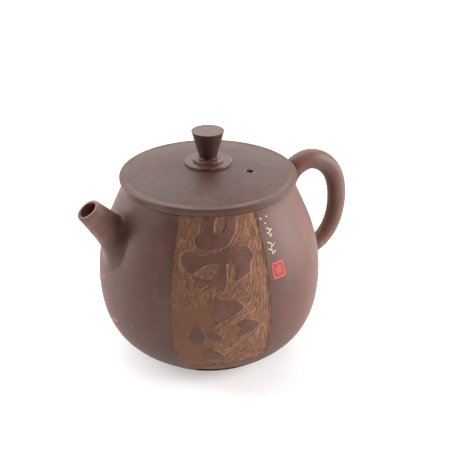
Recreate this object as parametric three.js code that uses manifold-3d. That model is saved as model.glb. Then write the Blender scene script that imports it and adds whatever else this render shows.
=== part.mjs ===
// A yixing clay teapot, in millimetres, +Z up.
// The origin is the centre of the flat base. The spout points along -X, the
// handle along +X, and the carved panel faces the front, which is -Y.
// Pieces that are luted together keep a joint line of GAP between them.
import * as THREE from 'three';
import { mergeVertices } from 'three/addons/utils/BufferGeometryUtils.js';
import Module from 'manifold-3d';

const wasm = await Module();
wasm.setup();

// ---------- driving dimensions ----------

const GAP = 0.3;
const ROUND_STEPS = 48;
const SPOUT_STEPS = 36;
const BORE_STEPS = 28;
const SMALL_STEPS = 32;

const WALL = 3;
const FOOT_RADIUS = 28.3;
const BELLY_RADIUS = 46;
const BELLY_HEIGHT = 34;
const RIM_RADIUS = 34.9;
const RIM_HEIGHT = 73.6;
const BASE_THICKNESS = 3;

const MOUTH_RADIUS = 29;
const MOUTH_RING_HEIGHT = 4;

const SPOUT_LENGTH = 30;
const SPOUT_LIP = new THREE.Vector3(-51.6, 0, 71);
const SPOUT_RISE = THREE.MathUtils.degToRad(50.4);
const SPOUT_LIP_RISE = THREE.MathUtils.degToRad(54.8);
const SPOUT_LIP_RADIUS = 4.95;
const SPOUT_TAPER = 0.127;
const SPOUT_FLARE_START = 13;
const SPOUT_FLARE = 6;
const BORE_LIP_RADIUS = 3.55;
const BORE_RADIUS = 5;
const BORE_TAPER_LENGTH = 12;

const STRAINER_RADIUS = 8;
const STRAINER_HEIGHT = 3.4;
const STRAINER_THICKNESS = 1.4;
const STRAINER_HOLE = 0.8;
const STRAINER_ROWS = [
  { holes: 1, reach: 0 },
  { holes: 6, reach: 2.2 },
  { holes: 10, reach: 4.4 },
];
const STRAINER_TILT = THREE.MathUtils.degToRad(21);
const STRAINER_CENTRE = new THREE.Vector3(-38.4, 0, 55);

const HANDLE_TOP_RADIUS = 4.45;
const HANDLE_MIDDLE_RADIUS = 4.1;
const HANDLE_FOOT_RADIUS = 3.3;

const LID_RADIUS = 36;
const LID_RIM = 1.6;
const LID_SEAT = RIM_HEIGHT + GAP;
const DOME_RADIUS = 33;
const DOME_RISE = 4.6;
const LID_HOLLOW_RADIUS = 25.3;
const LID_HOLLOW_RISE = 4.4;
const FLANGE_RADIUS = 28.5;
const FLANGE_THICKNESS = 2.8;
const FLANGE_DEPTH = 7;
const VENT_RADIUS = 1.6;
const VENT_AT = new THREE.Vector2(12, -13.3);

const LARGE_STEP_RADIUS = 9.5;
const SMALL_STEP_RADIUS = 6.1;
const STEP_THICKNESS = 0.8;
const EDGE_ROUND = 0.25;
const KNOB_FOOT_RADIUS = 3.45;
const KNOB_TOP_RADIUS = 6.6;
const KNOB_TOP = 95;

const INLAY_DEPTH = 1;
const PANEL_DEPTH = 1;
const PANEL_TURN = -18.5;
const PANEL_HALF_ANGLE = 25;
const PANEL_MARGIN = 0.6;
const PANEL_BOTTOM = BASE_THICKNESS + GAP + PANEL_MARGIN;
const PANEL_TOP = RIM_HEIGHT - PANEL_MARGIN;
const SEAL_TURN = 13.1;
const SEAL_HEIGHT = 50.7;
const SEAL_HALF = 2.8;

// ---------- clays ----------

const purpleClay = () => new THREE.MeshStandardMaterial({ color: 0x6b514b, roughness: 0.62, metalness: 0 });
const panelClay = () => new THREE.MeshStandardMaterial({ color: 0x7d5a46, roughness: 0.8, metalness: 0 });
const creamSlip = () => new THREE.MeshStandardMaterial({ color: 0xe1cda5, roughness: 0.7, metalness: 0 });
const redSlip = () => new THREE.MeshStandardMaterial({ color: 0xe1483f, roughness: 0.7, metalness: 0 });

// ---------- solids ----------

function solid(geometry) {
  const bare = geometry.clone();
  bare.deleteAttribute('normal');
  bare.deleteAttribute('uv');
  const merged = mergeVertices(bare, 1e-4);
  return new wasm.Manifold(new wasm.Mesh({
    numProp: 3,
    vertProperties: new Float32Array(merged.attributes.position.array),
    triVerts: new Uint32Array(merged.index.array),
  }));
}

function surface(body) {
  const { vertProperties, triVerts } = body.getMesh();
  const geometry = new THREE.BufferGeometry();
  geometry.setAttribute('position', new THREE.BufferAttribute(vertProperties, 3));
  geometry.setIndex(new THREE.BufferAttribute(triVerts, 1));
  geometry.computeVertexNormals();
  return geometry;
}

// A turned piece about +Z. The outline runs [radius, height], anticlockwise.
function turned(outline, steps = ROUND_STEPS) {
  const points = outline.map(([radius, height]) => new THREE.Vector2(radius, height));
  return new THREE.LatheGeometry(points, steps).rotateX(Math.PI / 2);
}

// A closed ring: its outline comes back to its first point.
function turnedRing(outline, steps = ROUND_STEPS) {
  return turned([...outline, outline[0]], steps);
}

function union(bodies) {
  return bodies.reduce((whole, body) => whole.add(body));
}

function range(count, start, end) {
  return Array.from({ length: count }, (_, i) => start + (end - start) * i / (count - 1));
}

// ---------- the wall's outline ----------

const lowerWall = new THREE.CubicBezierCurve(
  new THREE.Vector2(FOOT_RADIUS, 0),
  new THREE.Vector2(34.1, 5.2),
  new THREE.Vector2(BELLY_RADIUS, 9.2),
  new THREE.Vector2(BELLY_RADIUS, BELLY_HEIGHT),
);
const upperWall = new THREE.CubicBezierCurve(
  new THREE.Vector2(BELLY_RADIUS, BELLY_HEIGHT),
  new THREE.Vector2(BELLY_RADIUS, 54.5),
  new THREE.Vector2(36, 66.6),
  new THREE.Vector2(RIM_RADIUS, RIM_HEIGHT),
);

// Radius of the wall at a height, and at a depth below its outer surface.
function wallRadius(height, depth = 0) {
  const curve = height < BELLY_HEIGHT ? lowerWall : upperWall;
  let low = 0;
  let high = 1;
  for (let i = 0; i < 40; i++) {
    const middle = (low + high) / 2;
    if (curve.getPoint(middle).y < height) low = middle;
    else high = middle;
  }
  const tangent = curve.getTangent(low);
  return curve.getPoint(low).x - depth / Math.abs(tangent.y);
}

function wallOutline(bottom, top, depth, count) {
  return range(count, bottom, top).map((height) => [wallRadius(height, depth), height]);
}

// Everything inside the wall at a depth, as one solid.
function wallCore(bottom, top, depth, count = 16) {
  return turned([[0, bottom], ...wallOutline(bottom, top, depth, count), [0, top]]);
}

// Place on the wall: degrees from the front towards the handle, and a height.
function wallFrame(turn, height, depth = 0) {
  const angle = THREE.MathUtils.degToRad(turn);
  const out = new THREE.Vector3(Math.sin(angle), -Math.cos(angle), 0);
  const step = 0.5;
  const lean = (wallRadius(height + step) - wallRadius(height - step)) / (2 * step);
  const up = out.clone().multiplyScalar(lean).setZ(1).normalize();
  const across = new THREE.Vector3(Math.cos(angle), Math.sin(angle), 0);
  const normal = across.clone().cross(up);
  const place = out.multiplyScalar(wallRadius(height)).setZ(height);
  return new THREE.Matrix4()
    .makeBasis(across, up, normal)
    .setPosition(place.addScaledVector(normal, -depth));
}

// ---------- body ----------

// A wedge that spans the panel's angle, grown sideways by a margin.
function panelWedge(bottom, top, margin) {
  const reach = 2 * BELLY_RADIUS;
  const half = THREE.MathUtils.degToRad(PANEL_HALF_ANGLE) + margin / BELLY_RADIUS;
  const fan = new THREE.Shape();
  fan.moveTo(0, 0);
  fan.lineTo(reach * Math.sin(-half), -reach * Math.cos(half));
  fan.lineTo(reach * Math.sin(half), -reach * Math.cos(half));
  fan.closePath();
  const wedge = new THREE.ExtrudeGeometry(fan, { depth: top - bottom, bevelEnabled: false });
  return wedge.translate(0, 0, bottom).rotateZ(THREE.MathUtils.degToRad(PANEL_TURN));
}

function panelSkin(bottom, top, depth, margin) {
  const shell = solid(wallCore(bottom, top, -margin, 15)).subtract(solid(wallCore(bottom - 1, top + 1, depth, 16)));
  return shell.intersect(solid(panelWedge(bottom, top, margin)));
}

function spoutAxis(geometry) {
  return geometry
    .rotateY(SPOUT_RISE - Math.PI / 2)
    .translate(SPOUT_LIP.x, SPOUT_LIP.y, SPOUT_LIP.z);
}

// The bore, which runs on through the wall behind the spout.
function spoutBore() {
  const past = 4;
  return spoutAxis(turned([
    [0, -SPOUT_LENGTH],
    [BORE_RADIUS, -SPOUT_LENGTH],
    [BORE_RADIUS, -BORE_TAPER_LENGTH],
    [BORE_LIP_RADIUS, 0],
    [BORE_LIP_RADIUS, past],
    [0, past],
  ], BORE_STEPS));
}

function bodyWall(pockets) {
  const bottom = BASE_THICKNESS + GAP;
  const outer = wallOutline(bottom, RIM_HEIGHT, 0, 14);
  const inner = wallOutline(bottom, RIM_HEIGHT, WALL, 9).reverse();
  const wall = solid(turnedRing([...outer, ...inner]));
  const recess = panelSkin(PANEL_BOTTOM - GAP, RIM_HEIGHT + 1, PANEL_DEPTH + GAP, GAP);
  return pockets.reduce((cut, pocket) => cut.subtract(pocket), wall.subtract(solid(spoutBore())).subtract(recess));
}

function baseDisc() {
  const underside = 0.6;
  return turned([
    [0, 0],
    [FOOT_RADIUS - underside, 0],
    ...wallOutline(underside, BASE_THICKNESS, 0, 4),
    [0, BASE_THICKNESS],
  ]);
}

function mouthRing() {
  const bottom = RIM_HEIGHT - MOUTH_RING_HEIGHT;
  return turnedRing([
    [MOUTH_RADIUS, bottom],
    ...wallOutline(bottom, RIM_HEIGHT, WALL + GAP, 3),
    [MOUTH_RADIUS, RIM_HEIGHT],
  ]);
}

// ---------- spout ----------

function spout() {
  const flare = (run) => SPOUT_FLARE * Math.max(0, (run - SPOUT_FLARE_START) / (SPOUT_LENGTH - SPOUT_FLARE_START)) ** 2;
  const side = range(12, 0, SPOUT_LENGTH).map((run) => [
    SPOUT_LIP_RADIUS + SPOUT_TAPER * run + flare(run),
    -run,
  ]);
  const past = 3;
  const blank = solid(spoutAxis(turned([
    [0, -SPOUT_LENGTH],
    ...side.reverse(),
    [SPOUT_LIP_RADIUS, past],
    [0, past],
  ], SPOUT_STEPS)));
  const block = 30;
  const lipCut = new THREE.BoxGeometry(block, block, block)
    .translate(0, 0, block / 2)
    .rotateY(SPOUT_LIP_RISE - Math.PI / 2)
    .translate(SPOUT_LIP.x, SPOUT_LIP.y, SPOUT_LIP.z);
  return blank
    .subtract(solid(lipCut))
    .subtract(solid(wallCore(0, RIM_HEIGHT, -GAP, 18)))
    .subtract(solid(spoutBore()));
}

// A perforated dome over the bore's inner end, luted to the inside of the wall.
function strainer() {
  const sphere = (STRAINER_RADIUS ** 2 + STRAINER_HEIGHT ** 2) / (2 * STRAINER_HEIGHT);
  const span = Math.asin(STRAINER_RADIUS / sphere);
  const cap = (radius) => range(5, span, 0).map((angle) => [
    angle === 0 ? 0 : radius * Math.sin(angle),
    radius * Math.cos(angle) - sphere + STRAINER_HEIGHT,
  ]);
  const dome = solid(turned([
    ...cap(sphere - STRAINER_THICKNESS).reverse(),
    ...cap(sphere),
  ], 24));
  const drilled = STRAINER_ROWS.flatMap(({ holes, reach }) => Array.from({ length: holes }, (_, i) => {
    const angle = (i / holes) * 2 * Math.PI;
    return solid(new THREE.CylinderGeometry(STRAINER_HOLE, STRAINER_HOLE, 4 * STRAINER_HEIGHT, 8)
      .rotateX(Math.PI / 2)
      .translate(reach * Math.cos(angle), reach * Math.sin(angle), 0));
  }));
  const place = new THREE.Matrix4()
    .makeRotationY(Math.PI / 2 + STRAINER_TILT)
    .setPosition(STRAINER_CENTRE);
  const perforated = dome.subtract(union(drilled));
  return perforated
    .transform(place.elements)
    .intersect(solid(wallCore(BASE_THICKNESS, RIM_HEIGHT, WALL + GAP, 14)));
}

// ---------- handle ----------

const handleLine = new THREE.CatmullRomCurve3([
  new THREE.Vector3(32, 0, 59.5),
  new THREE.Vector3(34.8, 0, 64),
  new THREE.Vector3(39.2, 0, 71.1),
  new THREE.Vector3(46.2, 0, 74.2),
  new THREE.Vector3(53.3, 0, 72),
  new THREE.Vector3(59, 0, 65.4),
  new THREE.Vector3(61.3, 0, 54),
  new THREE.Vector3(59.1, 0, 42),
  new THREE.Vector3(53.8, 0, 34.9),
  new THREE.Vector3(45.6, 0, 30.6),
  new THREE.Vector3(41, 0, 29.4),
], false, 'centripetal');

// A round bar along the line, thinner towards its lower end.
function handle() {
  const steps = 32;
  const sides = 8;
  const section = new THREE.Shape().absarc(0, 0, 1, 0, 2 * Math.PI);
  const bar = new THREE.ExtrudeGeometry(section, { steps, extrudePath: handleLine, curveSegments: sides });
  const position = bar.attributes.position;
  const centres = range(steps + 1, 0, 1).map((run) => handleLine.getPointAt(run));
  const point = new THREE.Vector3();
  for (let i = 0; i < position.count; i++) {
    point.fromBufferAttribute(position, i);
    const distances = centres.map((centre) => Math.abs(centre.distanceTo(point) - 1));
    const run = distances.indexOf(Math.min(...distances));
    point.sub(centres[run]).multiplyScalar(handleRadius(run / steps)).add(centres[run]);
    position.setXYZ(i, point.x, point.y, point.z);
  }
  return solid(bar).subtract(solid(wallCore(0, RIM_HEIGHT, -GAP, 18)));
}

function handleRadius(run) {
  return run < 0.5
    ? THREE.MathUtils.lerp(HANDLE_TOP_RADIUS, HANDLE_MIDDLE_RADIUS, 2 * run)
    : THREE.MathUtils.lerp(HANDLE_MIDDLE_RADIUS, HANDLE_FOOT_RADIUS, 2 * run - 1);
}

// ---------- lid ----------

const LID_TOP = LID_SEAT + 2 * LID_RIM;
const domeHeight = (radius) => LID_TOP + DOME_RISE * (1 - (radius / DOME_RADIUS) ** 2);
const domeOutline = (radius, count, lift) => range(count, 0, radius).map((r) => [r, domeHeight(r) + lift]);

function lidPlate() {
  const rim = range(7, -Math.PI / 2, Math.PI / 2).map((angle) => [
    LID_RADIUS - LID_RIM + LID_RIM * Math.cos(angle),
    LID_SEAT + LID_RIM + LID_RIM * Math.sin(angle),
  ]);
  const hollow = range(4, 0, LID_HOLLOW_RADIUS).map((radius) => [
    radius,
    LID_SEAT + LID_HOLLOW_RISE * (1 - (radius / LID_HOLLOW_RADIUS) ** 4),
  ]);
  const plate = solid(turned([...hollow, ...rim, ...domeOutline(DOME_RADIUS, 6, 0).reverse()]));
  const vent = new THREE.CylinderGeometry(VENT_RADIUS, VENT_RADIUS, 20, 20)
    .rotateX(Math.PI / 2)
    .translate(VENT_AT.x, VENT_AT.y, LID_TOP);
  return plate.subtract(solid(vent));
}

function lidFlange() {
  const top = LID_SEAT - GAP;
  const inner = FLANGE_RADIUS - FLANGE_THICKNESS;
  const chamfer = 0.6;
  return turnedRing([
    [inner, top - FLANGE_DEPTH],
    [FLANGE_RADIUS - chamfer, top - FLANGE_DEPTH],
    [FLANGE_RADIUS, top - FLANGE_DEPTH + chamfer],
    [FLANGE_RADIUS, top],
    [inner, top],
  ]);
}

// The two low discs that the knob stands on. The large one sits on the dome.
const LARGE_STEP_TOP = domeHeight(LARGE_STEP_RADIUS) + GAP + STEP_THICKNESS;
const SMALL_STEP_TOP = LARGE_STEP_TOP + GAP + STEP_THICKNESS;

function disc(underside, radius, top) {
  return turned([
    ...underside,
    [radius, top - EDGE_ROUND],
    [radius - EDGE_ROUND, top],
    [0, top],
  ], SMALL_STEPS);
}

const largeStep = () => disc(domeOutline(LARGE_STEP_RADIUS, 3, GAP), LARGE_STEP_RADIUS, LARGE_STEP_TOP);
const smallStep = () => disc(
  [[0, LARGE_STEP_TOP + GAP], [SMALL_STEP_RADIUS, LARGE_STEP_TOP + GAP]],
  SMALL_STEP_RADIUS,
  SMALL_STEP_TOP,
);
const knob = () => disc(
  [[0, SMALL_STEP_TOP + GAP], [KNOB_FOOT_RADIUS, SMALL_STEP_TOP + GAP]],
  KNOB_TOP_RADIUS,
  KNOB_TOP,
);

// ---------- coloured inlays ----------

// One straight stroke in the wall's surface, from [turn, height] to [turn, height].
function stroke([fromTurn, fromHeight], [toTurn, toHeight], width, depth, margin) {
  const turn = (fromTurn + toTurn) / 2;
  const height = (fromHeight + toHeight) / 2;
  const frame = wallFrame(turn, height, depth / 2);
  const start = wallFrame(fromTurn, fromHeight);
  const end = wallFrame(toTurn, toHeight);
  const along = new THREE.Vector3().setFromMatrixPosition(end).sub(new THREE.Vector3().setFromMatrixPosition(start));
  const local = along.clone().transformDirection(frame.clone().invert());
  const bar = new THREE.BoxGeometry(along.length() + width + 2 * margin, width + 2 * margin, depth + 2 * margin);
  return bar.rotateZ(Math.atan2(local.y, local.x)).applyMatrix4(frame);
}

function strokes(lines, width, margin) {
  return union(lines.map(([from, to]) => solid(stroke(from, to, width, INLAY_DEPTH, margin))));
}

const joined = (points) => points.slice(1).map((point, i) => [points[i], point]);

// A stem with leaves that leave it on both sides in turn.
function sprig(turn, height, length, leaf) {
  const stem = [[turn, height], [turn + 0.6, height + length]];
  const leaves = [0.12, 0.38, 0.64, 0.88].map((run, i) => {
    const side = i % 2 ? -1 : 1;
    const root = [turn + 0.6 * run, height + length * run];
    return [root, [root[0] + side * leaf, root[1] + 0.9]];
  });
  return [stem, ...leaves];
}

// A square tile at a place on the wall, its face flush with the surface.
function sealTile(turn, height, half, depth) {
  return new THREE.BoxGeometry(2 * half, 2 * half, depth).applyMatrix4(wallFrame(turn, height, INLAY_DEPTH / 2));
}

// A round blossom in a square frame, tied to the middle of each side.
function blossomSeal(turn, height, half) {
  const frame = half - 0.6;
  const blossom = 0.6 * half;
  const tie = 0.25;
  const arc = range(4, 0.17, Math.PI / 2 - 0.17)
    .map((angle) => [blossom * Math.cos(angle), blossom * Math.sin(angle)]);
  const corner = [[tie, frame], [frame, frame], [frame, tie], ...arc];
  const gap = new THREE.Shape(corner.map(([across, up]) => new THREE.Vector2(across, up)));
  const gaps = range(4, 0, 1.5 * Math.PI).map((angle) => solid(
    new THREE.ExtrudeGeometry(gap, { depth: 3 * INLAY_DEPTH, bevelEnabled: false })
      .rotateZ(angle)
      .applyMatrix4(wallFrame(turn, height, 2 * INLAY_DEPTH)),
  ));
  return solid(sealTile(turn, height, half, INLAY_DEPTH)).subtract(union(gaps));
}

const drawn = [
  { name: 'cream_bud_1', slip: creamSlip, width: 0.7, lines: [[[8.4, 70.5], [8.9, 70.2]]] },
  { name: 'cream_bud_2', slip: creamSlip, width: 0.7, lines: [[[13, 70.7], [13.5, 70.3]]] },
  { name: 'cream_bud_3', slip: creamSlip, width: 0.6, lines: [[[10.8, 67.9], [11.8, 68.7]]] },
  { name: 'cream_sprig_upper', slip: creamSlip, width: 0.5, lines: sprig(12.4, 62.9, 3.4, 1.8) },
  { name: 'cream_sprig_lower', slip: creamSlip, width: 0.5, lines: sprig(11.3, 56.7, 4.8, 2.4) },
  { name: 'red_leaf_1', slip: redSlip, width: 0.9, lines: joined([[-104.2, 46], [-105, 40], [-103.2, 33]]) },
  { name: 'red_leaf_2', slip: redSlip, width: 0.9, lines: joined([[-96, 29.5], [-92, 26.5], [-89.6, 24.6]]) },
  { name: 'red_leaf_3', slip: redSlip, width: 0.9, lines: joined([[-88, 20.6], [-83.6, 22], [-80.6, 22.6]]) },
  { name: 'red_leaf_4', slip: redSlip, width: 0.7, lines: joined([[-84.4, 19.6], [-79, 16.6]]) },
  { name: 'red_leaf_5', slip: redSlip, width: 0.9, lines: joined([[-119, 43], [-124.5, 38.6], [-128, 36]]) },
  { name: 'red_leaf_6', slip: redSlip, width: 0.9, lines: joined([[-117, 33], [-122, 27.4], [-124, 23]]) },
  { name: 'red_bud', slip: redSlip, width: 1.2, lines: [[[-93.8, 39.2], [-93, 38.4]]] },
  { name: 'red_stem', slip: redSlip, width: 0.7, lines: joined([[-117, 49], [-113.6, 40], [-111.4, 30], [-110.6, 21]]) },
];

// ---------- assembly ----------

function piece(name, shape, material) {
  const geometry = shape.isBufferGeometry ? shape : surface(shape);
  const mesh = new THREE.Mesh(geometry, material);
  mesh.name = name;
  return mesh;
}

const pockets = [
  ...drawn.map(({ lines, width }) => strokes(lines, width, GAP)),
  solid(sealTile(SEAL_TURN, SEAL_HEIGHT, SEAL_HALF + GAP, INLAY_DEPTH + 2 * GAP)),
];

const pot = new THREE.Group();
pot.add(
  piece('body_wall', bodyWall(pockets), purpleClay()),
  piece('base_disc', baseDisc(), purpleClay()),
  piece('mouth_ring', mouthRing(), purpleClay()),
  piece('carved_panel', panelSkin(PANEL_BOTTOM, PANEL_TOP, PANEL_DEPTH, 0), panelClay()),
  piece('spout', spout(), purpleClay()),
  piece('spout_strainer', strainer(), purpleClay()),
  piece('handle', handle(), purpleClay()),
  ...drawn.map(({ name, slip, width, lines }) => piece(name, strokes(lines, width, 0), slip())),
  piece('red_blossom_seal', blossomSeal(SEAL_TURN, SEAL_HEIGHT, SEAL_HALF), redSlip()),
);

const lid = new THREE.Group();
lid.add(
  piece('lid_plate', lidPlate(), purpleClay()),
  piece('lid_flange', lidFlange(), purpleClay()),
  piece('knob_step_large', largeStep(), purpleClay()),
  piece('knob_step_small', smallStep(), purpleClay()),
  piece('knob', knob(), purpleClay()),
);

const teapot = new THREE.Group();
teapot.add(pot, lid);

export default teapot;
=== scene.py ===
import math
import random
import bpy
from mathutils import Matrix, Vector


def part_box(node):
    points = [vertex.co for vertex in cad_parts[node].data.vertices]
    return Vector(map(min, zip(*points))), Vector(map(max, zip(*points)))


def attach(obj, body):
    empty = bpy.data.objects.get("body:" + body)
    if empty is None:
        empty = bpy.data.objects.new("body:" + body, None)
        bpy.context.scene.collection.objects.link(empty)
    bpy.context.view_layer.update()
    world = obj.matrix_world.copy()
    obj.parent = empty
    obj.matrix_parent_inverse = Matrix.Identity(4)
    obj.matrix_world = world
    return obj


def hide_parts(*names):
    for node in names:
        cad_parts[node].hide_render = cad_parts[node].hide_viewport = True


bl_info = {
    "name": "Yixing Clay Teapot",
    "version": (1, 0, 0),
    "blender": (4, 5, 0),
    "location": "3D View > Sidebar > Teapot",
    "description": "An unglazed clay teapot with a carved front panel, built on its packed frame",
    "category": "Add Mesh",
}

import bpy
import numpy as np
from bpy.props import FloatProperty, FloatVectorProperty, IntProperty, PointerProperty
from bpy.types import Operator, Panel, PropertyGroup
from mathutils import Matrix, Vector, noise

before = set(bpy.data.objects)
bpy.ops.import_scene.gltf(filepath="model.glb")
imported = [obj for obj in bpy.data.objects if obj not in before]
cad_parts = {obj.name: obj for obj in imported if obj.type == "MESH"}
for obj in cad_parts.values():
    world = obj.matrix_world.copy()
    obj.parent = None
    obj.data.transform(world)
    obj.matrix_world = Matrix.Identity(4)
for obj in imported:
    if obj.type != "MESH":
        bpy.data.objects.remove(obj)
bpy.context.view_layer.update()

# Outlines are worked out in millimetres and become metres as a mesh is made.
MM = 0.001


def node_box(name):
    """A frame node's lowest and highest corners, in millimetres."""
    low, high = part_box(name)
    return low / MM, high / MM


WALL_HIGH = node_box("body_wall")[1]
BASE_HIGH = node_box("base_disc")[1]
RING_LOW, RING_HIGH = node_box("mouth_ring")
LID_LOW, LID_HIGH = node_box("lid_plate")
FLANGE_LOW, FLANGE_HIGH = node_box("lid_flange")
LARGE_STEP_HIGH = node_box("knob_step_large")[1]
SMALL_STEP_HIGH = node_box("knob_step_small")[1]
KNOB_HIGH = node_box("knob")[1]


# ---------- settings ----------


def colour(name, description, default):
    return FloatVectorProperty(
        name=name, description=description, subtype="COLOR", size=3, min=0, max=1, default=default
    )


def length(name, description, default):
    """A length setting, given in millimetres and kept in metres."""
    return FloatProperty(name=name, description=description, unit="LENGTH", default=default * MM)


def angle(name, description, degrees):
    return FloatProperty(
        name=name, description=description, subtype="ANGLE", default=math.radians(degrees)
    )


class TeapotClay(PropertyGroup):
    base: colour("Clay", "The purple-brown of the fired clay", (0.112, 0.046, 0.035))
    blush: colour("Blush", "Redder patches in the clay", (0.165, 0.060, 0.044))
    ash: colour("Ash", "Greyer, rubbed patches in the clay", (0.130, 0.079, 0.062))
    ground: colour("Panel ground", "The lighter clay of the cut ground", (0.186, 0.087, 0.051))
    # The ridge and groove colours paint highlight on the chisel ridges and shade at the bottom of the strokes.
    ridge: colour("Panel ridge", "The ridges that the chisel leaves", (0.305, 0.150, 0.092))
    groove: colour("Panel groove", "The bottom of a chisel cut", (0.060, 0.027, 0.018))
    rust: colour("Rust", "Orange-brown stain low on the panel", (0.23, 0.080, 0.032))
    cream: colour("Cream slip", "The slip in the small strokes", (0.74, 0.60, 0.40))
    # Rubbed, paler red clay; on the knob's steps this colour also paints a highlight along the edge.
    wear_and_highlight: colour("Worn clay", "Rubbed edges, where redder clay shows", (0.36, 0.165, 0.115))
    red: colour("Red slip", "The slip in the seal and the sprig", (0.72, 0.065, 0.045))


class TeapotShape(PropertyGroup):
    foot: length("Foot radius", "Radius of the flat base", 28.3)
    wall: length("Wall", "Thickness of the thrown wall", 3)
    mouth: length("Mouth radius", "Radius of the opening under the lid", RING_HIGH.x - 3.6)
    bore: length("Bore radius", "Radius of the spout's bore at the lip", 3.55)
    cut: length("Relief", "Depth of the panel's cut ground", 0.55)
    sides: IntProperty(name="Sides", description="Columns round a turned piece", default=144, min=24)


class TeapotStage(PropertyGroup):
    azimuth: angle("Azimuth", "Camera azimuth", -24.67)
    elevation: angle("Elevation", "Camera height angle", 26.6)
    distance: length("Distance", "From the camera to the belly", 433.6)
    lens: FloatProperty(
        name="Lens", description="Focal length in millimetres on a 36 mm sensor", default=83.5
    )


def settings():
    return bpy.context.scene.teapot_shape


# ---------- the wall's outline ----------


def cubic(a, b, c, d, count):
    """Points along a cubic curve with these four control points."""
    a, b, c, d = (np.array(p, float) for p in (a, b, c, d))
    t = np.linspace(0, 1, count)[:, None]
    return (1 - t) ** 3 * a + 3 * (1 - t) ** 2 * t * b + 3 * (1 - t) * t**2 * c + t**3 * d


BELLY = WALL_HIGH.y
BELLY_HEIGHT = 34
RIM = WALL_HIGH.z
WALL_LINE = np.vstack(
    (
        cubic((28.3, 0), (34.1, 5.2), (BELLY, 9.2), (BELLY, BELLY_HEIGHT), 200),
        cubic((BELLY, BELLY_HEIGHT), (BELLY, 54.5), (36, 66.6), (34.9, RIM), 200)[1:],
    )
)
WALL_RADII, WALL_HEIGHTS = WALL_LINE.T
WALL_SLOPES = np.gradient(WALL_RADII, WALL_HEIGHTS)
WALL_RUNS = np.concatenate(((0,), np.cumsum(np.hypot(*np.diff(WALL_LINE, axis=0).T))))


def wall_radius(height):
    return float(np.interp(height, WALL_HEIGHTS, WALL_RADII))


def wall_lean(height):
    """The wall's normal in its outline, as (outwards, upwards)."""
    slope = float(np.interp(height, WALL_HEIGHTS, WALL_SLOPES))
    size = math.hypot(1, slope)
    return 1 / size, -slope / size


def round_axis(turn, radius, height):
    """A point at an angle from the front, towards the handle."""
    return Vector((radius * math.sin(turn), -radius * math.cos(turn), height))


def wall_point(turn, height, depth=0):
    """A point on the wall, or at a depth under its surface."""
    out, up = wall_lean(height)
    return round_axis(turn, wall_radius(height) - depth * out, height - depth * up)


def wall_normal(point):
    out, up = wall_lean(point.z)
    flat = Vector((point.x, point.y, 0)).normalized()
    return Vector((flat.x * out, flat.y * out, up))


def height_over_wall(point):
    """How far a point is outside the wall's surface."""
    return (math.hypot(point.x, point.y) - wall_radius(point.z)) * wall_lean(point.z)[0]


def on_wall(point, depth=0):
    for _ in range(4):
        point = point - wall_normal(point) * (height_over_wall(point) + depth)
    return point


# ---------- making meshes ----------


def steps(count, start=0.0, end=1.0):
    return [start + (end - start) * i / (count - 1) for i in range(count)]


def new_piece(name):
    piece = bpy.context.active_object
    piece.name = piece.data.name = name
    return piece


def start_alone():
    if bpy.context.mode != "OBJECT":
        bpy.ops.object.mode_set(mode="OBJECT")
    bpy.ops.object.select_all(action="DESELECT")


def close_up(piece, smooth=40):
    """Merges doubled points, turns the faces outwards and shades the piece smooth."""
    bpy.ops.object.mode_set(mode="EDIT")
    bpy.ops.mesh.select_all(action="SELECT")
    bpy.ops.mesh.remove_doubles(threshold=1e-6)
    bpy.ops.mesh.normals_make_consistent(inside=False)
    bpy.ops.object.mode_set(mode="OBJECT")
    bpy.ops.object.shade_smooth_by_angle(angle=math.radians(smooth))
    return piece


def loft(name, rings, smooth=40):
    """A skin through rings of equal count, each one closed on itself. The rings are in millimetres."""
    start_alone()
    around = len(rings[0])
    bpy.ops.mesh.primitive_grid_add(x_subdivisions=around, y_subdivisions=len(rings) - 1, size=1)
    piece = new_piece(name)
    for vertex in piece.data.vertices:
        row, column = divmod(vertex.index, around + 1)
        vertex.co = rings[row][column % around] * MM
    return close_up(piece, smooth)


def rounded(outline, closed=False):
    """An outline of (radius, height) points. A third number rounds that corner."""
    count = len(outline)
    result = []
    for i, (radius, height, *corner) in enumerate(outline):
        point = Vector((radius, height))
        inner = closed or 0 < i < count - 1
        if not corner or not inner:
            result.append(point)
            continue
        before = Vector(outline[i - 1][:2]) - point
        after = Vector(outline[(i + 1) % count][:2]) - point
        first = point + before.normalized() * min(corner[0], before.length / 2)
        last = point + after.normalized() * min(corner[0], after.length / 2)
        for t in steps(7):
            result.append((1 - t) ** 2 * first + 2 * (1 - t) * t * point + t**2 * last)
    return result + result[:1] if closed else result


def turned(name, outline, closed=False, sides=None):
    """A turned piece. A circle is drawn at the first point and extruded from point to point."""
    points = rounded(outline, closed)
    sides = sides or settings().sides
    start_alone()
    first = points[0]
    on_axis = first.x < 1e-6
    start = points[1] if on_axis else first
    fill = "NGON" if on_axis and abs(first.y - start.y) < 1e-6 else "TRIFAN" if on_axis else "NOTHING"
    bpy.ops.mesh.primitive_circle_add(
        vertices=sides, radius=start.x * MM, location=(0, 0, start.y * MM), fill_type=fill
    )
    piece = new_piece(name)
    bpy.ops.object.transform_apply(location=True)
    bpy.ops.object.mode_set(mode="EDIT")
    if fill == "TRIFAN":
        move_centre(piece, first.y)
    bpy.ops.mesh.select_mode(type="EDGE")
    select_ring(piece, start)
    previous = start
    for point in points[2:] if on_axis else points[1:]:
        bpy.ops.mesh.extrude_edges_move(
            TRANSFORM_OT_translate={"value": (0, 0, (point.y - previous.y) * MM)}
        )
        scale = max(point.x, 1e-7) / max(previous.x, 1e-7)
        bpy.ops.transform.resize(value=(scale, scale, 1), center_override=(0, 0, point.y * MM))
        previous = point
    bpy.ops.object.mode_set(mode="OBJECT")
    return close_up(piece, 40)


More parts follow.
